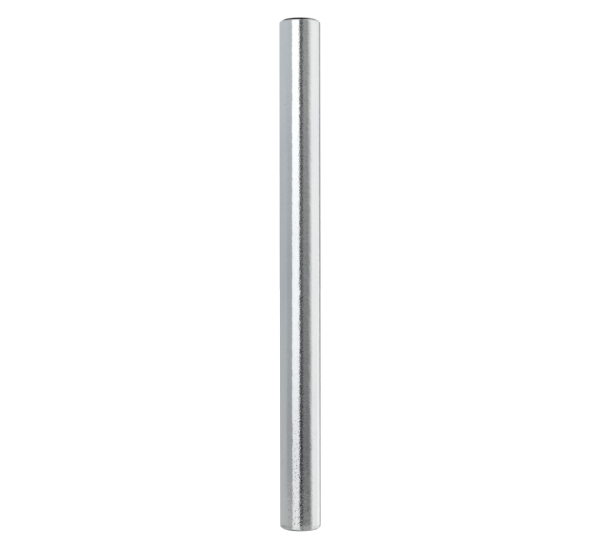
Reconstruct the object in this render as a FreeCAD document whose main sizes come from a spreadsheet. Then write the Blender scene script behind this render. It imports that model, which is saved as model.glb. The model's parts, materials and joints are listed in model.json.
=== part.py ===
"""Threaded pipe nipple: one straight length of steel pipe, tapped inside both ends.

The pipe stands on the XY plane with its axis on +Z and its origin at the centre of its lower end
face. Lengths are in millimetres.
"""
import FreeCAD
import Part

import os

import Sketcher

# Driving dimensions: alias, value, meaning.
SIZES = [
    ("outer_diameter", 10.287, "outside of the pipe"),
    ("overall_length", 127.0, "end face to end face"),
    ("wall", 2.413, "extra-strong wall, outside to bore"),
    ("rim_width", 0.5, "outer rim chamfer, across the end face"),
    ("rim_height", 0.5, "outer rim chamfer, along the pipe"),
    ("tap_step", 0.55, "tap drill over the bore, on the radius"),
    ("tap_depth", 12.0, "end face to the end of the tap drill's straight wall"),
    ("drill_point", 118.0, "full angle of the tap drill's point, degrees"),
    ("pitch", 0.907, "thread pitch"),
    ("flank_angle", 55.0, "full angle between the thread's flanks, degrees"),
    ("thread_length", 9.0, "end face to the last groove"),
    ("mouth_margin", 0.1, "countersink past the thread's root, on the radius"),
    ("groove_overlap", 0.05, "how far the groove's tool starts inside the drilled wall"),
]

OUTER = "sizes.outer_diameter / 2"
BORE = f"({OUTER} - sizes.wall)"
DRILLED = f"({BORE} + sizes.tap_step)"
FLAT = "(sizes.pitch / 6)"
FLANK_SLOPE = "tan(sizes.flank_angle / 2 * 1deg)"
THREAD_DEPTH = f"((sizes.pitch / 2 - {FLAT}) / {FLANK_SLOPE})"
ROOT = f"({DRILLED} + {THREAD_DEPTH})"
MOUTH = f"({ROOT} + sizes.mouth_margin)"
MOUTH_DEPTH = f"({MOUTH} - {DRILLED})"
POINT_DEPTH = "(sizes.tap_step / tan(sizes.drill_point / 2 * 1deg))"
TOP = "sizes.overall_length"


def make_sheet(doc):
    """The spreadsheet of driving dimensions, one row each."""
    sheet = doc.addObject("Spreadsheet::Sheet", "sizes")
    for row, (alias, value, meaning) in enumerate(SIZES, start=1):
        sheet.set(f"A{row}", meaning)
        sheet.set(f"B{row}", str(value))
        sheet.setAlias(f"B{row}", alias)
    doc.recompute()


def origin_plane(body, role):
    """One of the body's own origin planes."""
    return next(feature for feature in body.Origin.OriginFeatures if feature.Role == role)


def sketch_on(body, role, name):
    """An empty sketch attached to one of the body's own origin planes."""
    sketch = body.newObject("Sketcher::SketchObject", name)
    sketch.AttachmentSupport = (origin_plane(body, role), [""])
    sketch.MapMode = "FlatFace"
    return sketch


def close_outline(sketch, corners):
    """Join corners with lines. Each corner is held by two expressions, across and up."""
    places = [
        FreeCAD.Vector(*(float(sketch.evalExpression(side)) for side in corner), 0)
        for corner in corners
    ]
    count = len(places)
    for start in range(count):
        sketch.addGeometry(Part.LineSegment(places[start], places[(start + 1) % count]))
    for start, corner in enumerate(corners):
        sketch.addConstraint(Sketcher.Constraint("Coincident", start, 2, (start + 1) % count, 1))
        for kind, side, value in zip(("DistanceX", "DistanceY"), corner, places[start]):
            index = sketch.addConstraint(Sketcher.Constraint(kind, -1, 1, start, 1, value))
            sketch.setExpression(f"Constraints[{index}]", side)


def add_wall(body):
    """The pipe's wall, with chamfered rims and drilled ends: half its section turned and mirrored.

    The halves stay separate faces, so that no face of a thread's crest winds more than half a turn.
    """
    sketch = sketch_on(body, "XZ_Plane", "wall_section")
    end_edge = f"{OUTER} - sizes.rim_width"
    close_outline(sketch, [
        (MOUTH, "0"),
        (end_edge, "0"),
        (OUTER, "sizes.rim_height"),
        (OUTER, f"{TOP} - sizes.rim_height"),
        (end_edge, TOP),
        (MOUTH, TOP),
        (DRILLED, f"{TOP} - {MOUTH_DEPTH}"),
        (DRILLED, f"{TOP} - sizes.tap_depth"),
        (BORE, f"{TOP} - sizes.tap_depth - {POINT_DEPTH}"),
        (BORE, f"sizes.tap_depth + {POINT_DEPTH}"),
        (DRILLED, "sizes.tap_depth"),
        (DRILLED, MOUTH_DEPTH),
    ])
    front = body.newObject("PartDesign::Revolution", "front_half")
    front.Profile = sketch
    front.ReferenceAxis = (sketch, ["V_Axis"])
    front.Angle = 180
    wall = body.newObject("PartDesign::Mirrored", "wall")
    wall.Originals = [front]
    wall.MirrorPlane = (origin_plane(body, "XZ_Plane"), [""])
    wall.Refine = False
    body.Tip = wall


def add_thread(body, name, start):
    """One right-hand internal thread. The groove's tool climbs from start by the thread's length."""
    sketch = sketch_on(body, "XZ_Plane", f"{name}_groove")
    inner = f"{DRILLED} - sizes.groove_overlap"
    inner_half = f"(sizes.pitch / 2 - {FLAT} / 2 + sizes.groove_overlap * {FLANK_SLOPE})"
    close_outline(sketch, [
        (inner, f"{start} - {inner_half}"),
        (ROOT, f"{start} - {FLAT} / 2"),
        (ROOT, f"{start} + {FLAT} / 2"),
        (inner, f"{start} + {inner_half}"),
    ])
    thread = body.newObject("PartDesign::SubtractiveHelix", name)
    thread.Profile = sketch
    thread.ReferenceAxis = (sketch, ["V_Axis"])
    thread.Mode = "pitch-height-angle"
    thread.setExpression("Pitch", "sizes.pitch")
    thread.setExpression("Height", "sizes.thread_length + sizes.pitch / 2")
    thread.Angle = 0
    thread.LeftHanded = False
    thread.Refine = False
    return thread


def check(doc, bodies, cuts):
    """Stop if an object failed, a body's shape is missing or not valid, or a cut took nothing away."""
    for item in doc.Objects:
        if {"Invalid", "Error"} & set(item.State):
            raise RuntimeError(f"{item.Label} failed: {item.State}")
    for body in bodies:
        if body.Shape.isNull() or not body.Shape.isValid():
            raise RuntimeError(f"{body.Label} has no valid shape")
    for cut in cuts:
        if cut.Shape.Volume >= cut.BaseFeature.Shape.Volume:
            raise RuntimeError(f"{cut.Label} cuts nothing")


def main():
    doc = FreeCAD.newDocument("pipe_nipple")
    make_sheet(doc)

    pipe = doc.addObject("PartDesign::Body", "pipe")
    pipe.Label = "pipe"
    pipe.Placement = FreeCAD.Placement()
    add_wall(pipe)
    threads = [
        add_thread(pipe, "lower_thread", "(-sizes.pitch / 2)"),
        add_thread(pipe, "upper_thread", f"({TOP} - sizes.thread_length)"),
    ]
    doc.recompute()

    check(doc, [pipe], threads)
    os.makedirs("parts", exist_ok=True)
    pipe.Shape.exportStep(f"parts/{pipe.Label}.step")
    print(pipe.Label, len(pipe.Shape.Solids), "solid,", round(pipe.Shape.Volume, 1), "mm3")


main()
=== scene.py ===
"""Looks of a pipe nipple: one length of zinc-coated steel pipe, tapped inside both ends.

The pipe is one closed mesh, turned round Z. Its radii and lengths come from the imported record, and
the finish, the studio and the camera are made here. Lengths are in metres.
"""

import json
import math
from typing import NamedTuple

import bmesh
import bpy
from mathutils import Matrix, Vector, noise


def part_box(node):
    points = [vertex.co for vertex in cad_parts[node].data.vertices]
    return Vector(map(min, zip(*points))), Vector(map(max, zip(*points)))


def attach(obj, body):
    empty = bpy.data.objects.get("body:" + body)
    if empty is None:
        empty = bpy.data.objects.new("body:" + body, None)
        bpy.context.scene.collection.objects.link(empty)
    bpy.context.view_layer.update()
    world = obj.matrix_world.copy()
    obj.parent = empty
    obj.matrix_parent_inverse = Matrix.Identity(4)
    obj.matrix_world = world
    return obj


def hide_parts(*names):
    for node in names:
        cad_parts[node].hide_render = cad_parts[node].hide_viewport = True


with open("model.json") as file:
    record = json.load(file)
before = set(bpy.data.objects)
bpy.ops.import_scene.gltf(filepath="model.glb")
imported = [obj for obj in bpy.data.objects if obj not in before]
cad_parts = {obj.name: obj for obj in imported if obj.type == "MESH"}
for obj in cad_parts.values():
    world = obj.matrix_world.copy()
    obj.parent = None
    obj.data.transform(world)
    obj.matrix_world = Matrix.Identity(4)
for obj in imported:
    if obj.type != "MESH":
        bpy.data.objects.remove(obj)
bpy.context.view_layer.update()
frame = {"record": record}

MM = 0.001
MOUNTS = {mount["name"]: mount for mount in frame["record"]["mounts"]}


def mount_size(name, key):
    """A mount's radius or length, in metres."""
    return MOUNTS[name]["dims"][key] * MM


# The pipe, from the frame. The drilled wall runs from the countersink's foot to the shoulder that the
# drill's point leaves. The countersink is at 45 degrees, so it is as deep as it is wide.
LOW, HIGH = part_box("pipe")
LENGTH = HIGH[2] - LOW[2]
OUTER = mount_size("barrel", "r_mm")
BORE = mount_size("through_bore", "r_mm")
DRILLED = mount_size("upper_thread", "r_mm")
RIM = (LENGTH - mount_size("barrel", "length_mm")) / 2
DRILL_POINT = math.radians(118)
SHOULDER_END = (LENGTH - mount_size("through_bore", "length_mm")) / 2
SHOULDER_START = SHOULDER_END - (DRILLED - BORE) / math.tan(DRILL_POINT / 2)
MOUTH = DRILLED + SHOULDER_START - mount_size("upper_thread", "length_mm")

# The thread in each end: G 1/16, right-hand. FLAT is the width of its root and crest, in pitches.
PITCH = 0.907 * MM
FLANK_ANGLE = math.radians(55)
FLAT = 1 / 6
THREAD_DEPTH = PITCH * (0.5 - FLAT) / math.tan(FLANK_ANGLE / 2)
THREAD_LENGTH = 9.0 * MM
RUN_OUT = 1.5 * PITCH

# How finely the skin is divided.
COLUMNS = 168
ROWS_PER_PITCH = 12
BARREL_STEP = 0.55 * MM
INSIDE_STEP = 4 * MM
ARC_STEPS = 4
WELD_DISTANCE = 0.001 * MM

# Softened edges: how far from a corner its rounding starts, and how much of the countersink is turned
# together with the outside, to give the mouth's edge its rounding.
EDGE_ROUND = 0.14 * MM
MOUTH_STRIP = 0.1 * MM

# How the barrel's ends draw in where the pipe was cut, as reach and depth, and its slow waves.
LOWER_DRAW_IN = (1.4 * MM, 0.078 * MM)
UPPER_DRAW_IN = (1.0 * MM, 0.036 * MM)
DRAW_IN_POWER = 1.3
WAVE_HEIGHT = 0.004 * MM
WAVE_LENGTH = 9 * MM


# ---------------------------------------------------------------- the pipe's mesh

def rounded(corners, reach):
    """The path through corners, with each inner corner cut by a curve that starts reach before it."""
    path = [Vector(corners[0])]
    for before, corner, after in zip(corners, corners[1:], corners[2:]):
        corner = Vector(corner)
        back = (Vector(before) - corner).normalized()
        ahead = (Vector(after) - corner).normalized()
        for step in range(ARC_STEPS + 1):
            share = step / ARC_STEPS
            path.append(corner + reach * ((1 - share) ** 2 * back + share ** 2 * ahead))
    path.append(Vector(corners[-1]))
    return path


def divided(path, step):
    """The path with its long runs cut into pieces of about step."""
    out = [path[0]]
    for start, end in zip(path, path[1:]):
        count = max(1, round((end - start).length / step))
        out += [start.lerp(end, i / count) for i in range(1, count + 1)]
    return out


def smooth(value, low, high):
    """0 below low, 1 above high, eased between them."""
    share = min(1.0, max(0.0, (value - low) / (high - low)))
    return share * share * (3 - 2 * share)


def draw_in(from_end, reach, depth):
    """How far the outside is drawn in at a distance from its end face."""
    return depth * max(0.0, 1 - from_end / reach) ** DRAW_IN_POWER


def skin_radius(radius, height, angle):
    """The outside's radius with its drawn-in ends and its slow waves."""
    on_rim = smooth(radius, MOUTH, OUTER - RIM)
    ends = draw_in(height, *LOWER_DRAW_IN) + draw_in(LENGTH - height, *UPPER_DRAW_IN)
    spot = Vector((math.cos(angle), math.sin(angle), height / WAVE_LENGTH))
    on_barrel = smooth(min(height, LENGTH - height), RIM, 4 * RIM)
    wave = WAVE_HEIGHT * (0.5 + 0.5 * noise.noise(spot)) * on_barrel
    return radius - on_rim * ends - wave


def thread_form(phase):
    """Depth of the thread, 1 at the root and 0 at the crest, for a phase in turns."""
    off_root = abs(phase - round(phase))
    share = min(1.0, max(0.0, (off_root - FLAT / 2) / (0.5 - FLAT)))
    return 0.5 + 0.5 * math.cos(math.pi * share)


def tapped_radius(from_end, phase):
    """The tapped wall's radius: the countersink or the thread, whichever cuts deeper."""
    cut = THREAD_DEPTH * thread_form(phase)
    cut *= 1 - smooth(from_end, THREAD_LENGTH - RUN_OUT, THREAD_LENGTH)
    return max(MOUTH - from_end, DRILLED + cut)


def turned(path, radius_at=None):
    """A grid of points: the path (radius, height) turned round Z."""
    rows = []
    for radius, height in path:
        row = []
        for column in range(COLUMNS + 1):
            angle = 2 * math.pi * column / COLUMNS
            r = radius_at(radius, height, angle) if radius_at else radius
            row.append((r * math.cos(angle), r * math.sin(angle), height))
        rows.append(row)
    return rows


def tapped(top, bottom, from_end):
    """A grid of points down a tapped wall, whose rows climb one pitch a turn and stop at its ends."""
    rows = []
    count = math.ceil((top - bottom + PITCH) / PITCH * ROWS_PER_PITCH)
    for index in range(count + 1):
        row = []
        for column in range(COLUMNS + 1):
            turn = column / COLUMNS
            climb = PITCH * (turn - index / ROWS_PER_PITCH)
            height = min(top, max(bottom, top + climb))
            angle = 2 * math.pi * turn
            r = tapped_radius(from_end(height), index / ROWS_PER_PITCH)
            row.append((r * math.cos(angle), r * math.sin(angle), height))
        rows.append(row)
    return rows


def add_grid(shell, rows, material):
    """Put a grid of points in the mesh as quads."""
    verts = [[shell.verts.new(point) for point in row] for row in rows]
    for lower, upper in zip(verts, verts[1:]):
        for column in range(COLUMNS):
            quad = (lower[column], lower[column + 1], upper[column + 1], upper[column])
            face = shell.faces.new(quad)
            face.material_index = material
            face.smooth = True


def outside_path():
    """The outside's section, from one countersink's strip over the barrel to the other's."""
    return rounded([
        (MOUTH - MOUTH_STRIP, MOUTH_STRIP),
        (MOUTH, 0),
        (OUTER - RIM, 0),
        (OUTER, RIM),
        (OUTER, LENGTH - RIM),
        (OUTER - RIM, LENGTH),
        (MOUTH, LENGTH),
        (MOUTH - MOUTH_STRIP, LENGTH - MOUTH_STRIP),
    ], EDGE_ROUND)


def inside_path():
    """The section of the inside between the two threads, from the top down."""
    return [Vector(corner) for corner in [
        (DRILLED, LENGTH - THREAD_LENGTH),
        (DRILLED, LENGTH - SHOULDER_START),
        (BORE, LENGTH - SHOULDER_END),
        (BORE, SHOULDER_END),
        (DRILLED, SHOULDER_START),
        (DRILLED, THREAD_LENGTH),
    ]]


def make_pipe(skin_material, inner_material):
    """The whole pipe as one closed mesh."""
    shell = bmesh.new()
    add_grid(shell, turned(divided(outside_path(), BARREL_STEP), skin_radius), 0)
    add_grid(shell, tapped(LENGTH - MOUTH_STRIP, LENGTH - THREAD_LENGTH, lambda z: LENGTH - z), 1)
    add_grid(shell, turned(divided(inside_path(), INSIDE_STEP)), 1)
    add_grid(shell, tapped(THREAD_LENGTH, MOUTH_STRIP, lambda z: z), 1)
    bmesh.ops.remove_doubles(shell, verts=shell.verts, dist=WELD_DISTANCE)
    mesh = bpy.data.meshes.new("nipple_pipe")
    shell.to_mesh(mesh)
    shell.free()
    mesh.materials.append(skin_material)
    mesh.materials.append(inner_material)
    pipe = bpy.data.objects.new("nipple_pipe", mesh)
    bpy.context.scene.collection.objects.link(pipe)
    return pipe


# ---------------------------------------------------------------- node helpers

def set_inputs(tree, node, inputs):
    """Set each of a node's inputs to a value, or link it to a socket."""
    for key, value in inputs.items():
        if isinstance(value, bpy.types.NodeSocket):
            tree.links.new(value, node.inputs[key])
        else:
            node.inputs[key].default_value = value


def add_node(tree, kind, inputs=None, **settings):
    """A node with its settings and inputs."""
    node = tree.nodes.new(kind)
    for name, value in settings.items():
        setattr(node, name, value)
    set_inputs(tree, node, inputs or {})
    return node


def maths(tree, operation, first, second=0.0, third=0.0):
    """The result of a math node."""
    node = add_node(tree, "ShaderNodeMath", {0: first, 1: second, 2: third}, operation=operation)
    return node.outputs[0]


def ranged(tree, value, low, high, to_low=0.0, to_high=1.0):
    """Value eased from the range low..high to the range to_low..to_high."""
    node = add_node(tree, "ShaderNodeMapRange", {
        "Value": value, "From Min": low, "From Max": high, "To Min": to_low, "To Max": to_high,
    }, interpolation_type="SMOOTHSTEP")
    return node.outputs[0]


def mixed(tree, share, first, second):
    """Two colours mixed. The mix node's colour sockets are its inputs 6 and 7 and its output 2."""
    node = add_node(tree, "ShaderNodeMix", data_type="RGBA")
    set_inputs(tree, node, {0: share, 6: first, 7: second})
    return node.outputs[2]


def azimuth_of(tree, east, north):
    """The angle round Z, in radians: 0 on the camera's side, growing to its right."""
    return maths(tree, "ARCTAN2", east, maths(tree, "MULTIPLY", north, -1.0))


def distance_from(tree, value, middle):
    """How far a value is from the middle."""
    return maths(tree, "ABSOLUTE", maths(tree, "SUBTRACT", value, middle))


def grey(level, tint=(1.0, 1.0, 1.0)):
    """A colour with alpha from a level and a tint."""
    return (*(level * part for part in tint), 1.0)


# ---------------------------------------------------------------- materials

# The zinc coat. A size is the wavelength of a pattern, and a depth is the height of its bumps.
PATCH_SIZE = 9 * MM
GREEN_PATCH_SIZE = 5 * MM
STREAK_SIZE = 0.7 * MM
STREAK_DEPTH = 0.0015 * MM
DIMPLE_SIZE = 1.5 * MM
DIMPLE_DEPTH = 0.03 * MM
GRAIN_SIZE = 0.32 * MM
GRAIN_DEPTH = 0.028 * MM
PIT_SPACING = 2.2 * MM
PIT_DEPTH = 0.02 * MM
PITTED_AREA_SIZE = 7 * MM
SPECK_SIZE = 0.36 * MM
STAIN_SIZE = 6 * MM
STAIN_EDGE_SIZE = 1.3 * MM
STAINED_AREA_SIZE = 3 * MM
END_SPOT_SIZE = 0.8 * MM
TURNING_SIZE = 0.05 * MM
TURNING_DEPTH = 0.0015 * MM

# Where on the pipe. LOWER_PART is the height over which the lower end's marks fade out, and
# the one after it the distance from an end over which its darker, rougher spots fade out. The grainy
# band and the strip of dark specks, painted there as reflections of the dark surroundings, run down
# the front, and are given by angles round the pipe, in radians. A fade is over a distance past the
# band's edge or from the strip's middle. The specks on the strip's left change to those on its right
# over SPECKS_LEFT_TO_RIGHT.
LOWER_PART = (0.16 * LENGTH, 0.3 * LENGTH)
END_SPOT_REACH = (0.4 * MM, 1.1 * MM)
GRAINY_MIDDLE = math.radians(8)
GRAINY_HALF_WIDTH = 0.30
GRAINY_WANDER = 0.06
WANDER_SIZE = 4 * MM
GRAINY_WIDER_BELOW = 0.25
GRAINY_FADE = (-0.12, 0.06)
SPECKED_MIDDLE = 0.08
SPECKED_FADE = (0.05, 0.13)
SPECKS_LEFT_TO_RIGHT = (0.02, 0.2)

COOL_ZINC = (0.805, 0.83, 0.848, 1)
PALE_ZINC = (0.84, 0.85, 0.85, 1)
GREEN_ZINC = (0.80, 0.84, 0.82, 1)
STREAK_GREY = (0.70, 0.72, 0.75, 1)
PAINTED_SHADE_GREY = (0.22, 0.23, 0.24, 1)
STAIN_GREY = (0.45, 0.46, 0.46, 1)
END_SPOT_GREY = (0.56, 0.57, 0.58, 1)

# The cut steel inside.
TOOL_MARK_SIZE = 1.2 * MM
TOOL_MARK_DEPTH = 0.004 * MM
BLOTCH_SIZE = 3 * MM
DARK_STEEL = (0.56, 0.58, 0.60, 1)
PALE_STEEL = (0.68, 0.69, 0.68, 1)

PAPER_FIBRE_SIZE = 2 * MM


def new_material(name):
    """A material, with its tree, its shader and the place on the object."""
    material = bpy.data.materials.new(name)
    material.use_nodes = True
    tree = material.node_tree
    place = add_node(tree, "ShaderNodeTexCoord").outputs["Object"]
    return material, tree, tree.nodes["Principled BSDF"], place


def pattern(tree, place, wavelength, detail=2.0, stretch=1.0):
    """Noise of about the given wavelength, drawn out along the pipe by stretch."""
    across = 1 / wavelength
    scaled = add_node(tree, "ShaderNodeMapping", {
        "Vector": place, "Scale": (across, across, across / stretch),
    })
    noisy = add_node(tree, "ShaderNodeTexNoise", {
        "Vector": scaled.outputs[0], "Scale": 1.0, "Detail": detail, "Roughness": 0.5,
    })
    return noisy.outputs[0]


def cells(tree, place, spacing):
    """Distance to the nearest of scattered points, in spacings."""
    node = add_node(tree, "ShaderNodeTexVoronoi", {"Vector": place, "Scale": 1 / spacing})
    return node.outputs["Distance"]


def bumped(tree, height, depth, normal=None):
    """A bump of the given depth in metres, on top of another."""
    node = add_node(tree, "ShaderNodeBump", {"Height": height, "Strength": 1.0, "Distance": depth})
    if normal is not None:
        tree.links.new(normal, node.inputs["Normal"])
    return node.outputs[0]


def grainy_mask(tree, place, azimuth, lower):
    """1 in a band along the front, wider near the lower end, and 0.1 elsewhere."""
    wander = ranged(tree, pattern(tree, place, WANDER_SIZE), 0.3, 0.7, -GRAINY_WANDER, GRAINY_WANDER)
    half_width = maths(tree, "ADD", wander, GRAINY_HALF_WIDTH)
    half_width = maths(tree, "MULTIPLY_ADD", lower, GRAINY_WIDER_BELOW, half_width)
    outside = maths(tree, "SUBTRACT", distance_from(tree, azimuth, GRAINY_MIDDLE), half_width)
    return ranged(tree, outside, *GRAINY_FADE, 1.0, 0.1)


def pit_mask(tree, place, lower):
    """Small round pits, in some places only but everywhere near the lower end."""
    pits = ranged(tree, cells(tree, place, PIT_SPACING), 0.03, 0.085, 1.0, 0.0)
    sparse = ranged(tree, pattern(tree, place, PITTED_AREA_SIZE), 0.5, 0.6)
    return maths(tree, "MULTIPLY", pits, maths(tree, "MAXIMUM", sparse, lower))


def dark_reflection_speck_mask(tree, place, azimuth, lower, grainy):
    """Dark specks painted in the grainy band as reflections of the dark surroundings, crowded in a
    narrow strip down the front where the studio's dark line is mirrored.
    """
    strip = ranged(tree, distance_from(tree, azimuth, SPECKED_MIDDLE), *SPECKED_FADE, 1.0, 0.0)
    crowded = maths(tree, "MULTIPLY", strip, 0.06)
    dots = maths(tree, "ADD", pattern(tree, place, SPECK_SIZE, detail=1.0), crowded)
    painted_specks = ranged(tree, dots, 0.60, 0.70)
    left_of_strip = ranged(tree, lower, 0.0, 1.0, 0.3, 1.0)
    right_of_strip = 0.45
    beside_strip = ranged(tree, azimuth, *SPECKS_LEFT_TO_RIGHT, left_of_strip, right_of_strip)
    strength = maths(tree, "MAXIMUM", beside_strip, maths(tree, "MULTIPLY", strip, 0.7))
    return maths(tree, "MULTIPLY", painted_specks, maths(tree, "MULTIPLY", grainy, strength))


def stain_mask(tree, place, lower):
    """Outlines of dried drops near the lower end, uneven and broken."""
    uneven = ranged(tree, pattern(tree, place, STAIN_EDGE_SIZE), 0.3, 0.7, 0.16, 0.30)
    off_outline = distance_from(tree, cells(tree, place, STAIN_SIZE), uneven)
    dried = ranged(tree, pattern(tree, place, STAINED_AREA_SIZE), 0.45, 0.6, 0.0, 0.28)
    strength = maths(tree, "MULTIPLY", lower, dried)
    return maths(tree, "MULTIPLY", ranged(tree, off_outline, 0.005, 0.03, 1.0, 0.0), strength)


def end_spot_mask(tree, place, height):
    """Spots along both ends, which make them darker and rougher."""
    from_end = maths(tree, "MINIMUM", height, maths(tree, "SUBTRACT", LENGTH, height))
    spots = ranged(tree, pattern(tree, place, END_SPOT_SIZE, detail=3.0), 0.42, 0.62)
    return maths(tree, "MULTIPLY", ranged(tree, from_end, *END_SPOT_REACH, 1.0, 0.0), spots)


def turning_marks(tree, east, north):
    """Fine rings on the end faces and their chamfers."""
    squares = [maths(tree, "MULTIPLY", side, side) for side in (east, north)]
    radius = maths(tree, "SQRT", maths(tree, "ADD", *squares))
    rings = add_node(tree, "ShaderNodeTexNoise", {
        "W": radius, "Scale": 1 / TURNING_SIZE, "Detail": 1.0,
    }, noise_dimensions="1D").outputs[0]
    on_end = ranged(tree, radius, OUTER - 0.5 * RIM, OUTER - 0.2 * RIM, 1.0, 0.0)
    return maths(tree, "MULTIPLY", rings, on_end)


def clean_zinc(tree, place, patches, streaks):
    """The coat's colour before any marks: cool and green patches, and faint drawing lines."""
    green_patches = pattern(tree, place, GREEN_PATCH_SIZE, stretch=4.0)
    cool = mixed(tree, ranged(tree, patches, 0.35, 0.65), COOL_ZINC, PALE_ZINC)
    tinted = mixed(tree, ranged(tree, green_patches, 0.55, 0.8), cool, GREEN_ZINC)
    return mixed(tree, ranged(tree, streaks, 0.42, 0.8, 0.0, 0.45), tinted, STREAK_GREY)


def make_zinc():
    """Bright zinc coat: a smooth mirror, grainy along the front with dark specks painted there as
    reflections, pits darkened as painted shade, and marked near its foot.
    """
    material, tree, shader, place = new_material("bright_zinc")
    east, north, height = add_node(tree, "ShaderNodeSeparateXYZ", {0: place}).outputs
    azimuth = azimuth_of(tree, east, north)
    lower = ranged(tree, height, *LOWER_PART, 1.0, 0.0)
    grainy = grainy_mask(tree, place, azimuth, lower)
    pits = pit_mask(tree, place, lower)
    end_spots = end_spot_mask(tree, place, height)
    patches = pattern(tree, place, PATCH_SIZE, stretch=2.5)
    streaks = pattern(tree, place, STREAK_SIZE, stretch=30.0)

    # Painted shade and reflections: the pits are darkened as if shade lay in them, and the dark specks
    # stand in for reflections of the dark surroundings.
    painted_specks = dark_reflection_speck_mask(tree, place, azimuth, lower, grainy)
    dark = maths(tree, "MAXIMUM", maths(tree, "MULTIPLY", pits, 0.6), painted_specks)
    colour = mixed(tree, dark, clean_zinc(tree, place, patches, streaks), PAINTED_SHADE_GREY)
    colour = mixed(tree, stain_mask(tree, place, lower), colour, STAIN_GREY)
    colour = mixed(tree, maths(tree, "MULTIPLY", end_spots, 0.45), colour, END_SPOT_GREY)
    roughness = maths(tree, "MULTIPLY_ADD", end_spots, 0.12, ranged(tree, patches, 0.3, 0.7, 0.085, 0.125))

    grain_strength = maths(tree, "MULTIPLY", grainy, ranged(tree, lower, 0.0, 1.0, 1.0, 0.75))
    grain = maths(tree, "MULTIPLY", pattern(tree, place, GRAIN_SIZE, detail=1.0), grain_strength)
    normal = bumped(tree, streaks, STREAK_DEPTH)
    normal = bumped(tree, pattern(tree, place, DIMPLE_SIZE), DIMPLE_DEPTH, normal)
    normal = bumped(tree, grain, GRAIN_DEPTH, normal)
    normal = bumped(tree, maths(tree, "MULTIPLY", pits, -1.0), PIT_DEPTH, normal)
    normal = bumped(tree, turning_marks(tree, east, north), TURNING_DEPTH, normal)

    set_inputs(tree, shader, {
        "Base Color": colour, "Metallic": 1.0, "Roughness": roughness, "Normal": normal,
    })
    return material


def make_inner_steel():
    """The drilled bore and the cut threads: duller, with fine marks round the wall."""
    material, tree, shader, place = new_material("tapped_steel")
    marks = pattern(tree, place, TOOL_MARK_SIZE, stretch=0.05)
    blotches = pattern(tree, place, BLOTCH_SIZE)
    set_inputs(tree, shader, {
        "Base Color": mixed(tree, ranged(tree, blotches, 0.35, 0.7), DARK_STEEL, PALE_STEEL),
        "Metallic": 1.0,
        "Roughness": ranged(tree, marks, 0.3, 0.7, 0.24, 0.36),
        "Normal": bumped(tree, marks, TOOL_MARK_DEPTH),
    })
    return material


def make_floor_material():
    """Plain white paper, bright enough to meet the backdrop without an edge."""
    material, tree, shader, place = new_material("white_floor")
    fibre = pattern(tree, place, PAPER_FIBRE_SIZE)
    set_inputs(tree, shader, {
        "Base Color": mixed(tree, fibre, grey(0.88), grey(0.92)),
        "Roughness": 0.9,
        "Specular IOR Level": 0.0,
        "Emission Color": grey(1.0),
        "Emission Strength": 0.85,
    })
    return material


# ---------------------------------------------------------------- studio, floor and camera

# Heights in the studio are the sine of the elevation, and a change goes from the first to the second
# of a pair. The walls change from level to level, and their edges straighten up from the foot.
FLOOR_TO_FOOT = (-0.36, -0.28)
FOOT_TO_LOW = (-0.25, -0.215)
LOW_TO_MIDDLE = (-0.2, 0.0)
MIDDLE_TO_HIGH = (0.0, 0.2)
FOOT_TURN = (-0.2, -0.174)

# Over the walls comes a pale band and then the ceiling, and under them what lies underfoot.
WALLS_TO_PALE = (0.3, 0.5)
PALE_TO_OVERHEAD = (0.5, 0.68)
WALLS_TO_UNDERFOOT = (-0.6, -0.95)

# The light overhead and underfoot changes from west to east instead, by the direction's east part.
OVERHEAD_LEFT_LIGHT = (-0.5, -0.3)
OVERHEAD_RIGHT_LIGHT = (0.26, 0.42)
UNDERFOOT_CHANGE = (-0.25, -0.05)
UNDERFOOT_LEFT = 0.28
UNDERFOOT_RIGHT = 0.44
PALE_LEVEL = 0.62

# Tints of the walls.
PLAIN = (1.0, 1.0, 1.0)
FAINT_CREAM = (1.0, 1.0, 0.995)
CREAM = (1.0, 1.0, 0.99)
GREENISH = (0.99, 1.0, 0.99)
CYANISH = (0.99, 1.0, 1.0)
VIOLET = (1.0, 1.0, 1.02)
KEY_WHITE = (1.0, 1.01, 1.01)
BLUE = (0.94, 1.0, 1.045)
SHADE_BLUE = (0.945, 1.0, 1.04)
PALE_BLUE = (0.98, 1.0, 1.02)


class Wall(NamedTuple):
    """An upright wall of soft light, which runs from its azimuth to the next wall's. Angles are in
    degrees.

    Levels are its brightness at the floor, the foot, low, middle and high. Below tints the first
    three, and above the last two. Lean moves its edge to the right with height, and turn moves it to
    the right below FOOT_TURN.
    """
    azimuth: float
    blur: float
    levels: tuple
    below: tuple = PLAIN
    above: tuple = PLAIN
    lean: float = 0
    turn: float = 0


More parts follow.
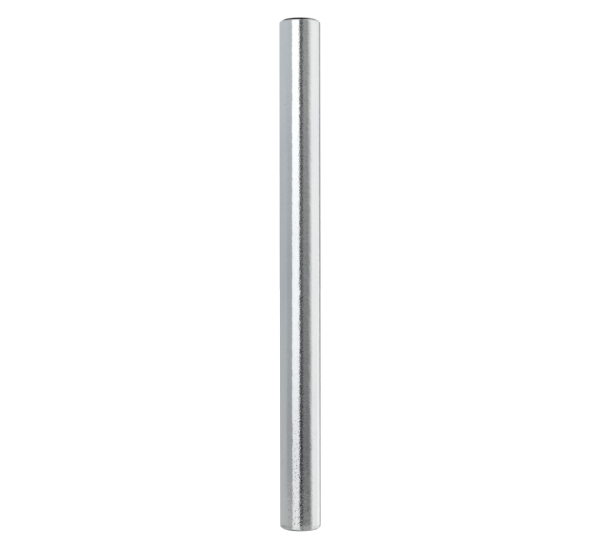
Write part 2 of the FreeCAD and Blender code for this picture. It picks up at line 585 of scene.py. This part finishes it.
WALLS = {
    "back_light": Wall(-180, 1, (0.80, 0.85, 0.95, 0.95, 0.95)),
    "left_edge": Wall(-166, 8, (0.52, 0.42, 0.50, 0.40, 0.57), FAINT_CREAM, BLUE),
    "left_wall": Wall(-147, 16, (0.52, 0.38, 0.53, 0.515, 0.605), FAINT_CREAM, BLUE),
    "left_shade": Wall(-79, 26, (0.48, 0.40, 0.37, 0.445, 0.575), CYANISH, SHADE_BLUE, lean=20, turn=45),
    "key_light": Wall(-45.4, 3, (0.95, 0.92, 0.90, 1.09, 1.24), CREAM, KEY_WHITE, lean=7),
    "dark_line": Wall(-4.2, 4, (0.30, 0.50, 0.035, 0.15, 0.135), VIOLET, VIOLET, lean=3),
    "grey_gap": Wall(14.5, 6, (0.38, 0.50, 0.17, 0.265, 0.36), GREENISH, GREENISH, lean=6),
    "fill_light": Wall(60.5, 30, (0.88, 0.82, 0.93, 0.97, 0.98), CREAM, CREAM, lean=-19),
    "bright_edge": Wall(110, 8, (0.95, 0.88, 1.06, 0.99, 0.96), CREAM, CREAM),
    "right_wall": Wall(136, 9, (0.50, 0.42, 0.52, 0.32, 0.42), CYANISH, CYANISH),
    "back_light_again": Wall(166, 8, (0.80, 0.85, 0.95, 0.95, 0.95)),
}

# The camera is level with the pipe's middle, about two and a half lengths in front of it.
SENSOR_WIDTH = 36
LENS = 74.5
CAMERA_ROLL = math.radians(-0.075)
CAMERA_PLACE = (-0.0003 * LENGTH, -2.45 * LENGTH, LENGTH / 2)
FLOOR_HALF = 40 * LENGTH


def wall_colour(tree, height, wall):
    """A wall's colour, which changes with height through its levels."""
    tints = (wall.below, wall.below, wall.below, wall.above, wall.above)
    floor, foot, low, middle, high = (grey(level, tint) for level, tint in zip(wall.levels, tints))
    colour = mixed(tree, ranged(tree, height, *FLOOR_TO_FOOT), floor, foot)
    colour = mixed(tree, ranged(tree, height, *FOOT_TO_LOW), colour, low)
    colour = mixed(tree, ranged(tree, height, *LOW_TO_MIDDLE), colour, middle)
    return mixed(tree, ranged(tree, height, *MIDDLE_TO_HIGH), colour, high)


def walls_colour(tree, azimuth, height):
    """The colour of all the walls, each opened over the ones before it from its own azimuth on."""
    colour = grey(1.0)
    for wall in WALLS.values():
        leant = maths(tree, "MULTIPLY_ADD", height, -wall.lean, azimuth)
        curved = maths(tree, "SUBTRACT", leant, ranged(tree, height, *FOOT_TURN, wall.turn, 0.0))
        start, end = wall.azimuth - wall.blur / 2, wall.azimuth + wall.blur / 2
        colour = mixed(tree, ranged(tree, curved, start, end), colour, wall_colour(tree, height, wall))
    return colour


def make_studio():
    """The room that the metal mirrors, as soft upright walls. The camera itself sees plain white."""
    world = bpy.data.worlds.new("studio")
    bpy.context.scene.world = world
    world.use_nodes = True
    tree = world.node_tree
    tree.nodes.clear()
    way = add_node(tree, "ShaderNodeTexCoord").outputs["Generated"]
    east, north, height = add_node(tree, "ShaderNodeSeparateXYZ", {0: way}).outputs
    colour = walls_colour(tree, maths(tree, "DEGREES", azimuth_of(tree, east, north)), height)

    # Above the walls it is pale, and right overhead dark, with light coming in past both sides.
    pale = grey(PALE_LEVEL, PALE_BLUE)
    colour = mixed(tree, ranged(tree, height, *WALLS_TO_PALE), colour, pale)
    right_light = ranged(tree, east, *OVERHEAD_RIGHT_LIGHT, 0.022, 0.6)
    left_light = ranged(tree, east, *OVERHEAD_LEFT_LIGHT, 0.16, 0.0)
    level = maths(tree, "ADD", right_light, left_light)
    overhead = add_node(tree, "ShaderNodeCombineColor", {0: level, 1: level, 2: level}).outputs[0]
    colour = mixed(tree, ranged(tree, height, *PALE_TO_OVERHEAD), colour, overhead)
    eastward = ranged(tree, east, *UNDERFOOT_CHANGE)
    underfoot = mixed(tree, eastward, grey(UNDERFOOT_LEFT), grey(UNDERFOOT_RIGHT))
    colour = mixed(tree, ranged(tree, height, *WALLS_TO_UNDERFOOT), colour, underfoot)

    camera_sees = add_node(tree, "ShaderNodeLightPath").outputs["Is Camera Ray"]
    seen = mixed(tree, camera_sees, colour, grey(1.0))
    light = add_node(tree, "ShaderNodeBackground", {"Color": seen, "Strength": 1.0})
    add_node(tree, "ShaderNodeOutputWorld", {"Surface": light.outputs[0]})


def make_floor(material):
    """A wide white floor under the pipe, which the metal doesn't mirror: it mirrors the studio's."""
    mesh = bpy.data.meshes.new("floor")
    corners = [(x * FLOOR_HALF, y * FLOOR_HALF, 0) for x, y in ((-1, -1), (1, -1), (1, 1), (-1, 1))]
    mesh.from_pydata(corners, [], [(0, 1, 2, 3)])
    mesh.materials.append(material)
    floor = bpy.data.objects.new("floor", mesh)
    floor.visible_glossy = False
    bpy.context.scene.collection.objects.link(floor)


def make_camera():
    """The camera, which looks north."""
    data = bpy.data.cameras.new("camera")
    data.sensor_width = SENSOR_WIDTH
    data.lens = LENS
    data.clip_start = 0.01
    data.clip_end = 100
    camera = bpy.data.objects.new("camera", data)
    facing = Matrix.Rotation(math.radians(90), 4, "X") @ Matrix.Rotation(CAMERA_ROLL, 4, "Z")
    camera.matrix_world = Matrix.Translation(CAMERA_PLACE) @ facing
    bpy.context.scene.collection.objects.link(camera)
    bpy.context.scene.camera = camera


make_camera()
make_studio()
make_floor(make_floor_material())
bpy.context.scene.view_settings.view_transform = "Standard"
bpy.context.scene.cycles.use_denoising = False  # it would wipe the fine grain away

pipe = make_pipe(make_zinc(), make_inner_steel())
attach(pipe, "root")
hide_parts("pipe")
